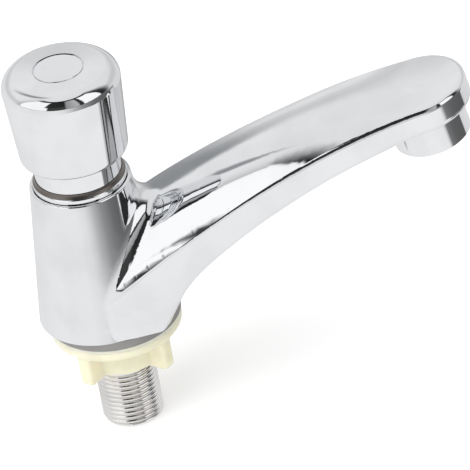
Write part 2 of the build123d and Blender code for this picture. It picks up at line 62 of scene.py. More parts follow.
class TapSizes(bpy.types.PropertyGroup):
    """Sizes of the pieces that are modelled here."""

    head_offset: bpy.props.FloatProperty(
        name="Head Offset", description="Place of the knob's axis along X, from the shank's axis",
        default=-0.0028, unit="LENGTH")
    turn_steps: bpy.props.IntProperty(
        name="Turning Steps", description="Faces around each turned piece", default=192, min=32)
    thread_steps: bpy.props.IntProperty(
        name="Thread Steps", description="Faces around each turn of the thread", default=72, min=24)
    thread_pitch: bpy.props.FloatProperty(
        name="Thread Pitch", description="Rise of one turn, 14 turns to the inch", default=0.001814,
        unit="LENGTH")
    thread_r: bpy.props.FloatProperty(
        name="Thread Radius", description="Radius over the crests", default=0.01047, unit="LENGTH")
    crest_round: bpy.props.FloatProperty(
        name="Crest Round", description="Drop of the rounded crest at its sides", default=0.0003,
        unit="LENGTH")
    groove_depth: bpy.props.FloatProperty(
        name="Groove Depth", description="Depth of the groove below the crest's sides", default=0.0007,
        unit="LENGTH")
    bore_r: bpy.props.FloatProperty(
        name="Bore Radius", description="Radius of the shank's bore", default=0.0075, unit="LENGTH")
    end_chamfer: bpy.props.FloatProperty(
        name="End Chamfer", description="Length over which the thread runs out at the shank's end",
        default=0.0012, unit="LENGTH")
    push_travel: bpy.props.FloatProperty(
        name="Push Travel", description="How far the knob goes down", default=0.007, unit="LENGTH")
    # Inside this radius the collar's cove is painted dark, a painted shade.
    cove_shade_r: bpy.props.FloatProperty(
        name="Cove Shade Radius", description="Radius within which the collar's cove is dark", default=0.0156,
        unit="LENGTH")
    nut_flange: bpy.props.FloatProperty(
        name="Nut Flange", description="Thickness of the nut's flange", default=0.004, unit="LENGTH")
    hub_r: bpy.props.FloatProperty(
        name="Hub Radius", description="Radius of the nut's hub", default=0.0141, unit="LENGTH")
    nut_bore_r: bpy.props.FloatProperty(
        name="Nut Bore Radius", description="Radius of the nut's bore", default=0.01056, unit="LENGTH")
    wing_reach: bpy.props.FloatProperty(
        name="Wing Reach", description="Reach of a wing from the nut's axis", default=0.0207, unit="LENGTH")
    wing_width: bpy.props.FloatProperty(
        name="Wing Width", description="Width of a wing", default=0.0052, unit="LENGTH")
    wing_turn: bpy.props.FloatProperty(
        name="Wing Turn", description="Direction of the first wing", subtype="ANGLE", default=radians(-131))
    wing_count: bpy.props.IntProperty(
        name="Wings", description="Number of wings round the nut", default=4, min=2)
    mould_grid: bpy.props.FloatProperty(
        name="Mould Grid", description="Mesh size of the moulded nut", default=0.00042, unit="LENGTH")


class TapFinishes(bpy.types.PropertyGroup):
    """Colours of the finishes."""

    chrome: bpy.props.FloatVectorProperty(
        name="Chrome", description="Colour of the polished chrome plate",
        subtype="COLOR", size=4, min=0, max=1, default=(0.865, 0.875, 0.892, 1))
    nickel: bpy.props.FloatVectorProperty(
        name="Nickel", description="Colour of the nickel-plated thread",
        subtype="COLOR", size=4, min=0, max=1, default=(0.86, 0.845, 0.83, 1))
    nut: bpy.props.FloatVectorProperty(
        name="Nut", description="Colour of the cream plastic nut",
        subtype="COLOR", size=4, min=0, max=1, default=(0.90, 0.86, 0.66, 1))
    gasket: bpy.props.FloatVectorProperty(
        name="Gasket", description="Colour of the rubber base gasket",
        subtype="COLOR", size=4, min=0, max=1, default=(0.27, 0.265, 0.255, 1))
    brass: bpy.props.FloatVectorProperty(
        name="Brass", description="Colour of the turned brass inside the valve",
        subtype="COLOR", size=4, min=0, max=1, default=(0.78, 0.60, 0.30, 1))
    floor: bpy.props.FloatVectorProperty(
        name="Floor", description="Colour of the studio floor",
        subtype="COLOR", size=4, min=0, max=1, default=(0.86, 0.86, 0.86, 1))


class TapStage(bpy.types.PropertyGroup):
    """Camera and light of the studio."""

    camera_place: bpy.props.FloatVectorProperty(
        name="Camera Place", description="Where the camera stands",
        subtype="TRANSLATION", size=3, default=(0.0445, -1.5, 1.0282))
    camera_tilt: bpy.props.FloatProperty(
        name="Camera Tilt", description="How far the camera looks down",
        subtype="ANGLE", default=radians(33.85))
    camera_roll: bpy.props.FloatProperty(
        name="Camera Roll", description="How far the camera leans about its own line of sight",
        subtype="ANGLE", default=radians(-10.23))
    camera_lens: bpy.props.FloatProperty(
        name="Lens", description="Focal length on a sensor 36 mm wide", default=412.9)
    floor_height: bpy.props.FloatProperty(
        name="Floor Height", description="Height of the studio floor, at the shank's end",
        default=-0.0411, unit="LENGTH")
    lamp_power: bpy.props.FloatProperty(
        name="Lamp Power", description="Power of the large soft lamp overhead", default=7.0, min=0)
    fill_strength: bpy.props.FloatProperty(
        name="Fill Strength", description="Strength of the studio's even light", default=0.78, min=0)


# Node trees

def put(tree, kind, x, y, **settings):
    """Add a node at a place in the tree and set its properties."""
    node = tree.nodes.new(kind)
    node.location = (x, y)
    for key, value in settings.items():
        setattr(node, key, value)
    return node


def math_node(tree, operation, x, y, *inputs):
    """Add a Math node; each input is a number or a socket."""
    node = put(tree, "ShaderNodeMath", x, y, operation=operation)
    for socket, value in zip(node.inputs, inputs):
        if isinstance(value, bpy.types.NodeSocket):
            tree.links.new(value, socket)
        else:
            socket.default_value = value
    return node.outputs[0]


def step_node(tree, value, low, high, x, y):
    """Rise smoothly from 0 to 1 while a value goes from low to high."""
    node = put(tree, "ShaderNodeMapRange", x, y, interpolation_type="SMOOTHSTEP", clamp=True)
    tree.links.new(value, node.inputs["Value"])
    node.inputs["From Min"].default_value = low
    node.inputs["From Max"].default_value = high
    return node.outputs["Result"]


def ramp_node(tree, value, stops, x, y):
    """A grey ramp through (place, brightness) stops."""
    node = put(tree, "ShaderNodeValToRGB", x, y)
    ramp = node.color_ramp
    ramp.elements[0].position, ramp.elements[-1].position = stops[0][0], stops[-1][0]
    for place, _ in stops[1:-1]:
        ramp.elements.new(place)
    for element, (_, grey) in zip(ramp.elements, stops):
        element.color = (grey, grey, grey, 1)
    tree.links.new(value, node.inputs["Fac"])
    return node.outputs["Color"]


def mix_node(tree, factor, a, b, x, y):
    """Mix two colours; each is a colour or a socket."""
    node = put(tree, "ShaderNodeMix", x, y, data_type="RGBA")
    for socket, value in ((node.inputs["Factor"], factor), (node.inputs["A"], a), (node.inputs["B"], b)):
        if isinstance(value, bpy.types.NodeSocket):
            tree.links.new(value, socket)
        else:
            socket.default_value = value
    return node.outputs["Result"]


def new_group(name, inputs, outputs):
    """Start a node group with named float or colour sockets."""
    group = bpy.data.node_groups.new(name, "ShaderNodeTree")
    for label, kind, default in inputs:
        socket = group.interface.new_socket(name=label, in_out="INPUT", socket_type=kind)
        if default is not None:
            socket.default_value = default
    for label, kind in outputs:
        group.interface.new_socket(name=label, in_out="OUTPUT", socket_type=kind)
    start = put(group, "NodeGroupInput", -800, 0)
    end = put(group, "NodeGroupOutput", 600, 0)
    return group, start, end


def haze_group():
    """Faint handling haze: soft cloudy changes of roughness and tint over a polished or moulded surface."""
    group, start, end = new_group(
        "Handling Haze",
        [("Vector", "NodeSocketVector", None), ("Scale", "NodeSocketFloat", 40.0),
         ("Low", "NodeSocketFloat", 0.03), ("High", "NodeSocketFloat", 0.09)],
        [("Roughness", "NodeSocketFloat"), ("Mask", "NodeSocketFloat")])
    cloud = put(group, "ShaderNodeTexNoise", -500, 0)
    cloud.inputs["Detail"].default_value = 4
    group.links.new(start.outputs["Vector"], cloud.inputs["Vector"])
    group.links.new(start.outputs["Scale"], cloud.inputs["Scale"])
    mask = step_node(group, cloud.outputs["Fac"], 0.42, 0.68, -300, 0)
    level = put(group, "ShaderNodeMapRange", 0, 0)
    group.links.new(mask, level.inputs["Value"])
    group.links.new(start.outputs["Low"], level.inputs["To Min"])
    group.links.new(start.outputs["High"], level.inputs["To Max"])
    group.links.new(level.outputs["Result"], end.inputs["Roughness"])
    group.links.new(mask, end.inputs["Mask"])
    return group


def grain_group():
    """Fine moulded or cast grain as a height."""
    group, start, end = new_group(
        "Surface Grain",
        [("Vector", "NodeSocketVector", None), ("Scale", "NodeSocketFloat", 900.0)],
        [("Height", "NodeSocketFloat")])
    coarse = put(group, "ShaderNodeTexNoise", -500, 150)
    fine = put(group, "ShaderNodeTexNoise", -500, -150)
    for noise, factor in ((coarse, 0.3), (fine, 1.0)):
        group.links.new(start.outputs["Vector"], noise.inputs["Vector"])
        scale = math_node(group, "MULTIPLY", -650, 0, start.outputs["Scale"], factor)
        group.links.new(scale, noise.inputs["Scale"])
        noise.inputs["Detail"].default_value = 3
    total = math_node(group, "ADD", -200, 0, coarse.outputs["Fac"], fine.outputs["Fac"])
    group.links.new(math_node(group, "MULTIPLY", 0, 0, total, 0.5), end.inputs["Height"])
    return group


def lathe_group():
    """Fine turning lines round an upright axis, as a height and a mask."""
    group, start, end = new_group(
        "Turning Lines",
        [("Vector", "NodeSocketVector", None), ("Scale", "NodeSocketFloat", 2500.0)],
        [("Height", "NodeSocketFloat"), ("Mask", "NodeSocketFloat")])
    parts = put(group, "ShaderNodeSeparateXYZ", -600, 0)
    group.links.new(start.outputs["Vector"], parts.inputs[0])
    along = put(group, "ShaderNodeCombineXYZ", -450, 0)
    group.links.new(parts.outputs["Z"], along.inputs["Z"])
    noise = put(group, "ShaderNodeTexNoise", -250, 0)
    noise.inputs["Detail"].default_value = 5
    group.links.new(along.outputs[0], noise.inputs["Vector"])
    group.links.new(start.outputs["Scale"], noise.inputs["Scale"])
    group.links.new(noise.outputs["Fac"], end.inputs["Height"])
    group.links.new(step_node(group, noise.outputs["Fac"], 0.4, 0.62, 0, -150), end.inputs["Mask"])
    return group


def start_material(name):
    """A material with object coordinates and a Principled shader."""
    material = bpy.data.materials.new(name)
    material.use_nodes = True
    tree = material.node_tree
    shader = tree.nodes["Principled BSDF"]
    place = put(tree, "ShaderNodeTexCoord", -900, 0)
    return material, tree, shader, place.outputs["Object"]


def use_group(tree, group, vector, x, y, **values):
    """Place a node group, feed it the coordinates and set its values."""
    node = put(tree, "ShaderNodeGroup", x, y, node_tree=group)
    tree.links.new(vector, node.inputs["Vector"])
    for label, value in values.items():
        node.inputs[label].default_value = value
    return node


def add_bump(tree, shader, height, strength, distance):
    """Feed a height to the shader's normal through a Bump node."""
    bump = put(tree, "ShaderNodeBump", -250, -300)
    bump.inputs["Strength"].default_value = strength
    bump.inputs["Distance"].default_value = distance
    tree.links.new(height, bump.inputs["Height"])
    tree.links.new(bump.outputs["Normal"], shader.inputs["Normal"])


def tinted(colour, factor):
    """A colour made lighter or darker."""
    return tuple(min(1, channel * factor) for channel in colour[:3]) + (1,)


def metal(name, groups, colour, low, high, tint, lines=None):
    """A plated or turned metal: hazy roughness, a faint tint change and, on turned pieces, fine lines."""
    material, tree, shader, place = start_material(name)
    haze = use_group(tree, groups["haze"], place, -600, 100, Scale=55.0, Low=low, High=high)
    tree.links.new(haze.outputs["Roughness"], shader.inputs["Roughness"])
    colour_mix = mix_node(tree, haze.outputs["Mask"], colour, tinted(colour, tint), -300, 250)
    tree.links.new(colour_mix, shader.inputs["Base Color"])
    shader.inputs["Metallic"].default_value = 1
    if lines:
        turning = use_group(tree, groups["lathe"], place, -600, -250, Scale=lines)
        add_bump(tree, shader, turning.outputs["Height"], strength=0.25, distance=0.00006)
    return material


def chrome_cove_painted_shade(groups, colour):
    """Chrome whose cove beside the neck is painted dark and made duller: painted shade for the dark that the
    cove reflects.
    """
    sizes = bpy.context.scene.tap_sizes
    # Painted shade: inside the cove's radius the colour turns dark brown-grey and the chrome grows rougher.
    painted_shade_colour, edge_width = (0.2, 0.18, 0.165, 1), 0.00015
    cove_roughness, open_roughness = (0.3, 0.3, 0.3, 1), (0.04, 0.04, 0.04, 1)
    material, tree, shader, place = start_material("Chrome Cove")
    haze = use_group(tree, groups["haze"], place, -600, 300, Scale=90.0, Low=0.03, High=0.08)
    centred = put(tree, "ShaderNodeMapping", -1500, 0)
    centred.inputs["Location"].default_value = (-sizes.head_offset, 0, 0)
    tree.links.new(place, centred.inputs["Vector"])
    parts = put(tree, "ShaderNodeSeparateXYZ", -1300, 0)
    tree.links.new(centred.outputs[0], parts.inputs[0])
    flat = put(tree, "ShaderNodeCombineXYZ", -1100, 0)
    for axis in "XY":
        tree.links.new(parts.outputs[axis], flat.inputs[axis])
    reach = put(tree, "ShaderNodeVectorMath", -900, -200, operation="LENGTH")
    tree.links.new(flat.outputs[0], reach.inputs[0])
    past_shade = step_node(tree, reach.outputs["Value"], sizes.cove_shade_r, sizes.cove_shade_r + edge_width,
                      -600, 0)
    tree.links.new(mix_node(tree, past_shade, painted_shade_colour, colour, -300, 200), shader.inputs["Base Color"])
    dull = mix_node(tree, past_shade, cove_roughness, open_roughness, -300, 0)
    rough = math_node(tree, "ADD", -100, 0, haze.outputs["Roughness"], dull)
    tree.links.new(rough, shader.inputs["Roughness"])
    shader.inputs["Metallic"].default_value = 1
    return material


def moulded(name, groups, colour, roughness, grain, soft=0.0, bump=0.12):
    """A plastic or rubber: moulded grain, uneven gloss and a faint tint change."""
    material, tree, shader, place = start_material(name)
    haze = use_group(tree, groups["haze"], place, -600, 100, Scale=120.0,
                     Low=roughness - 0.06, High=roughness + 0.08)
    tree.links.new(haze.outputs["Roughness"], shader.inputs["Roughness"])
    colour_mix = mix_node(tree, haze.outputs["Mask"], colour, tinted(colour, 0.93), -300, 250)
    tree.links.new(colour_mix, shader.inputs["Base Color"])
    fine = use_group(tree, groups["grain"], place, -600, -250, Scale=grain)
    add_bump(tree, shader, fine.outputs["Height"], strength=bump, distance=0.0002)
    if soft:
        shader.inputs["Subsurface Weight"].default_value = soft
        shader.inputs["Subsurface Radius"].default_value = (1.0, 0.8, 0.35)
        shader.inputs["Subsurface Scale"].default_value = 0.004
    return material


def finish_materials():
    """Make every finish once and return them by the record's slot."""
    colours = bpy.context.scene.tap_finishes
    groups = {"haze": haze_group(), "grain": grain_group(), "lathe": lathe_group()}
    chrome, brass = tuple(colours.chrome), tuple(colours.brass)
    steel, black, white = (0.62, 0.61, 0.6, 1), (0.025, 0.025, 0.026, 1), (0.82, 0.82, 0.80, 1)
    return {
        "chrome": metal("Polished Chrome", groups, chrome, low=0.02, high=0.07, tint=0.94),
        "chrome_disc": metal("Chrome Disc", groups, chrome, low=0.03, high=0.08, tint=0.96),
        "nickel": metal("Nickel Thread", groups, tuple(colours.nickel), low=0.13, high=0.22, tint=0.9,
                        lines=2600.0),
        "chrome_cove_painted_shade": chrome_cove_painted_shade(groups, chrome),
        "brass": metal("Turned Brass", groups, brass, low=0.2, high=0.34, tint=0.88, lines=1800.0),
        "steel": metal("Stainless Steel", groups, steel, low=0.22, high=0.36, tint=0.9),
        "grey_rubber": moulded("Grey Gasket Rubber", groups, tuple(colours.gasket), roughness=0.5,
                               grain=1500.0, bump=0.3),
        "black_rubber": moulded("Black Rubber", groups, black, roughness=0.55, grain=1500.0, bump=0.3),
        "cream_plastic": moulded("Cream Plastic", groups, tuple(colours.nut), roughness=0.36, grain=700.0,
                                 soft=0.55),
        "white_plastic": moulded("White Plastic", groups, white, roughness=0.4, grain=900.0, soft=0.2),
    }


def finish_for(slot):
    """The finish that was made for one of the record's slots."""
    return next(finish for finish in bpy.data.materials if finish.get("slot") == slot)


# Pieces

def box_of(name):
    """Lowest and highest corner of a piece of the frame."""
    node = frame["nodes"][name]
    corners = [node.matrix_world @ Vector(corner) for corner in node.bound_box]
    return [Vector(pick(corner[axis] for corner in corners) for axis in range(3)) for pick in (min, max)]


def ring_edges(shape, height):
    """Open edges of a mesh whose ends both lie at a height."""
    return [edge for edge in shape.edges if edge.is_boundary and all(
        abs(vertex.co.z - height) < merge_distance for vertex in edge.verts)]


def placed(shape, name):
    """Turn a mesh under construction into an object of the scene."""
    mesh = bpy.data.meshes.new(name)
    shape.to_mesh(mesh)
    shape.free()
    item = bpy.data.objects.new(name, mesh)
    bpy.context.scene.collection.objects.link(item)
    return item


def finished(shape, name, node, body, slot, split=35):
    """Close a mesh into an object, let it stand in for a piece of the frame and give it its finish."""
    bmesh.ops.remove_doubles(shape, verts=shape.verts, dist=merge_distance)
    bmesh.ops.recalc_face_normals(shape, faces=shape.faces)
    for edge in shape.edges:
        edge.smooth = edge.is_manifold and edge.calc_face_angle(0) < radians(split)
    for face in shape.faces:
        face.smooth = True
    piece = placed(shape, name)
    piece.data.materials.append(finish_for(slot))
    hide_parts(node)
    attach(piece, body)
    return piece


class TAP_OT_cut_thread(bpy.types.Operator):
    """Cut the shank's rounded helical thread"""

    bl_idname = "tap.cut_thread"
    bl_label = "Cut the Thread"

    def execute(self, context):
        sizes = context.scene.tap_sizes
        low, high = box_of("shank")
        pitch, steps = sizes.thread_pitch, sizes.thread_steps
        shape = bmesh.new()
        outline = self.pitch_outline(sizes)
        vertices = [shape.verts.new((reach, 0, low.z - pitch + height)) for reach, height in outline]
        edges = [shape.edges.new(pair) for pair in zip(vertices, vertices[1:])]
        bmesh.ops.spin(shape, geom=vertices + edges, cent=(0, 0, 0), axis=(0, 0, 1),
                       dvec=(0, 0, pitch / steps), angle=2 * pi, steps=steps)
        turn = shape.verts[:] + shape.edges[:] + shape.faces[:]
        turns = int((high.z - low.z) / pitch) + 2
        for count in range(1, turns):
            copy = bmesh.ops.duplicate(shape, geom=turn)["geom"]
            bmesh.ops.translate(shape, vec=(0, 0, count * pitch),
                                verts=[item for item in copy if isinstance(item, bmesh.types.BMVert)])
        bmesh.ops.remove_doubles(shape, verts=shape.verts, dist=merge_distance)
        for height, normal in ((low.z, -1), (high.z, 1)):
            bmesh.ops.bisect_plane(shape, geom=shape.verts[:] + shape.edges[:] + shape.faces[:],
                                   plane_co=(0, 0, height), plane_no=(0, 0, normal), clear_outer=True)
        root = sizes.thread_r - sizes.crest_round - sizes.groove_depth
        for vertex in shape.verts:
            reach = vertex.co.xy.length
            limit = root + (vertex.co.z - low.z) / sizes.end_chamfer * (sizes.thread_r - root)
            if reach > limit:
                vertex.co.xy *= limit / reach
        self.bore(shape, sizes, low.z, high.z)
        finished(shape, "threaded_shank", "shank", "tap", "nickel")
        return {"FINISHED"}

    def pitch_outline(self, sizes):
        """Rounded crest between two halves of a narrow groove, as (radius, height) over one pitch."""
        pitch = sizes.thread_pitch
        crest_share, crest_steps = 0.36, 8
        crest_half = crest_share * pitch
        points = [(sizes.thread_r - sizes.crest_round - sizes.groove_depth, 0.0)]
        for step in range(crest_steps + 1):
            along = 2 * step / crest_steps - 1
            points.append((sizes.thread_r - sizes.crest_round * along**2, pitch / 2 + crest_half * along))
        points.append((points[0][0], pitch))
        return points

    def bore(self, shape, sizes, low, high):
        """Close the shank with its smooth bore and its flat ends."""
        walls = []
        for height in (low, high):
            outer = ring_edges(shape, height)
            circle = set(bmesh.ops.create_circle(shape, segments=sizes.thread_steps, radius=sizes.bore_r,
                                                 matrix=Matrix.Translation((0, 0, height)))["verts"])
            walls.append([edge for edge in shape.edges if all(end in circle for end in edge.verts)])
            bmesh.ops.bridge_loops(shape, edges=outer + walls[-1])
        bmesh.ops.bridge_loops(shape, edges=walls[0] + walls[1])


class TAP_OT_mould_nut(bpy.types.Operator):
    """Mould the soft-edged plastic nut with its flange, hub and wings"""

    bl_idname = "tap.mould_nut"
    bl_label = "Mould the Nut"

    def execute(self, context):
        sizes = context.scene.tap_sizes
        low, high = box_of("back_nut")
        flange_r = high.y
        flange_low = high.z - sizes.nut_flange
        hub_slope, flange_chamfer, slope_height = 0.0015, 0.0012, 0.001
        shape = bmesh.new()
        outline = [(sizes.nut_bore_r, low.z), (sizes.hub_r, low.z), (sizes.hub_r, flange_low - slope_height),
                   (sizes.hub_r + hub_slope, flange_low), (flange_r - flange_chamfer, flange_low),
                   (flange_r, flange_low + slope_height), (flange_r, high.z), (sizes.nut_bore_r, high.z)]
        vertices = [shape.verts.new((reach, 0, height)) for reach, height in outline]
        edges = [shape.edges.new(pair) for pair in zip(vertices, vertices[1:] + vertices[:1])]
        bmesh.ops.spin(shape, geom=vertices + edges, cent=(0, 0, 0), axis=(0, 0, 1), angle=2 * pi,
                       steps=sizes.turn_steps, use_merge=True)
        for count in range(sizes.wing_count):
            turn = sizes.wing_turn + count * 2 * pi / sizes.wing_count
            self.add_wing(shape, sizes, low.z, flange_low, turn)
        bmesh.ops.recalc_face_normals(shape, faces=shape.faces)
        form = placed(shape, "nut_form")
        grid = form.modifiers.new("Mould", "REMESH")
        grid.mode = "VOXEL"
        grid.voxel_size = sizes.mould_grid
        soften = form.modifiers.new("Soften", "SMOOTH")
        soften.factor = 0.5
        soften.iterations = 14
        evaluated = form.evaluated_get(bpy.context.evaluated_depsgraph_get())
        moulded_shape = bmesh.new()
        moulded_shape.from_mesh(evaluated.to_mesh())
        evaluated.to_mesh_clear()
        bpy.data.objects.remove(form)
        finished(moulded_shape, "winged_nut", "back_nut", "nut", "cream_plastic", split=180)
        return {"FINISHED"}

    def add_wing(self, shape, sizes, low, high, turn):
        """One wing: a block from the hub outwards with rounded outer corners and lower edge."""
        hub_overlap, flange_overlap, corner_round = 0.002, 0.001, 0.0013
        inner = sizes.hub_r - hub_overlap
        length = sizes.wing_reach - inner
        place = (Matrix.Rotation(turn, 4, "Z") @ Matrix.Translation((inner + length / 2, 0, (low + high) / 2))
                 @ Matrix.Diagonal((length, sizes.wing_width, high - low + flange_overlap, 1)))
        wing = bmesh.ops.create_cube(shape, size=1, matrix=place)["verts"]
        outer = {vertex for vertex in wing if vertex.co.xy.length > sizes.hub_r}
        lower = {vertex for vertex in wing if vertex.co.z < (low + high) / 2}
        edges = [edge for edge in shape.edges if all(end in outer for end in edge.verts) and
                 (edge.verts[0] in lower or edge.verts[1] in lower)]
        bmesh.ops.bevel(shape, geom=edges, offset=corner_round, offset_type="OFFSET", segments=4, profile=0.5,
                        affect="EDGES", material=-1)


class TAP_OT_wind_spring(bpy.types.Operator):
    """Stand in for the return spring on the neck with a smooth-shaded steel copy of its mesh"""

    bl_idname = "tap.wind_spring"
    bl_label = "Wind the Spring"

    def execute(self, context):
        low, high = box_of("return_spring")
        shape = bmesh.new()
        shape.from_mesh(frame["nodes"]["return_spring"].data)
        coil = finished(shape, "coil_spring", "return_spring", "tap", "steel", split=50)
        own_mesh(coil)
        return {"FINISHED"}


class TAP_OT_finish_nodes(bpy.types.Operator):
    """Give every piece of the frame its finish"""

    bl_idname = "tap.finish_nodes"
    bl_label = "Finish the Pieces"

    def execute(self, context):
        finishes = finish_materials()
        for slot, finish in finishes.items():
            finish["slot"] = slot
        slots = {entry["node"]: entry["material_slot"] for entry in frame["record"]["subparts"]}
        for name, node in frame["nodes"].items():
            node.data.materials.clear()
            # The collar ring takes the chrome whose cove is painted dark, a painted shade.
            node.data.materials.append(finishes["chrome_cove_painted_shade" if name == "collar_ring" else slots[name]])
        return {"FINISHED"}


# Studio

# Greys round the tap as (turn, grey) stops. A turn of 0.25 is the left, 0.5 the front, 0.75 the right.
# Greys from below upwards as (rise, grey) stops. A rise is the height of a ray's end, from -1 to 1.

steep_stops = [
    (0.0, 0.72), (0.12, 0.84), (0.3, 0.93), (0.69, 0.93), (0.696, 0.62), (0.705, 0.5), (0.707, 0.02),
    (0.713, 0.03), (0.716, 0.45), (0.723, 0.38), (0.7245, 0.02), (0.73, 0.03), (0.733, 0.26),
    (0.742, 0.4), (0.766, 0.44), (0.79, 0.52), (0.82, 0.6), (0.87, 0.7), (1.0, 0.72)]
neck_stops = [
    (0.0, 0.74), (0.12, 0.86), (0.3, 0.95), (0.672, 0.95), (0.678, 0.28), (0.7, 0.16), (0.722, 0.3),
    (0.745, 0.12), (0.77, 0.22), (0.785, 0.52), (0.85, 0.6), (1.0, 0.7)]
tip_stops = [
    (0.0, 0.74), (0.12, 0.84), (0.3, 0.93), (0.615, 0.93), (0.63, 0.66), (0.642, 0.22), (0.7, 0.16),
    (0.785, 0.19), (0.797, 0.76), (1.0, 0.8)]
table_stops = [
    (0.0, 0.74), (0.12, 0.84), (0.3, 0.9), (0.44, 0.9), (0.49, 0.82), (0.515, 0.7), (0.545, 0.5), (0.59, 0.3),
    (0.65, 0.17), (0.7, 0.13), (0.785, 0.11), (0.798, 0.76), (1.0, 0.8)]
opening_stops = [
    (0.0, 0.62), (0.16, 0.7), (0.19, 0.62), (0.255, 0.5), (0.262, 1.1), (0.385, 1.1), (0.395, 0.03),
    (0.5, 0.02), (0.51, 0.3), (0.572, 0.5), (0.58, 0.03), (0.6, 0.03), (0.605, 1.1), (0.7, 1.1),
    (0.705, 0.02), (0.76, 0.05), (0.8, 0.3), (1.0, 0.42)]
box_foot_stops = [
    (0.0, 0.0), (0.384, 0.0), (0.386, 1.0), (0.404, 1.0), (0.408, 0.02), (0.5, 0.03), (0.51, 0.0), (1.0, 0.0)]
roof_stops = [(0.0, 0.84), (0.3, 0.84), (0.7, 0.8), (1.0, 0.84)]
back_left_stops = [
    (0.0, 0.84), (0.1, 0.8), (0.2, 0.7), (0.33, 0.66), (0.42, 0.74), (0.5, 0.84), (0.58, 0.88), (1.0, 0.84)]
back_right_stops = [
    (0.0, 0.78), (0.1, 0.7), (0.3, 0.64), (0.42, 0.68), (0.52, 0.78), (0.6, 0.84), (1.0, 0.84)]

# The paper's bands, each with the rises between which it takes over from the one below
paper_bands = (
    (-0.84, -0.76, steep_stops), (-0.61, -0.59, neck_stops), (-0.515, -0.49, tip_stops),
    (-0.445, -0.4, table_stops))

# Rises between which one part of the studio goes over into the next
opening_start = (0.088, 0.096)
opening_borders = ((0.1, 0.122), (0.89, 0.945))
box_foot_top = (0.42, 0.5)
roof_start = (0.945, 0.95)
back_foot = (-0.2, 0.0)

# Places along Y and X between which the front goes over into the back, and the back's left into its right
back_start = (-0.12, 0.2)
back_sides = (-0.05, 0.35)


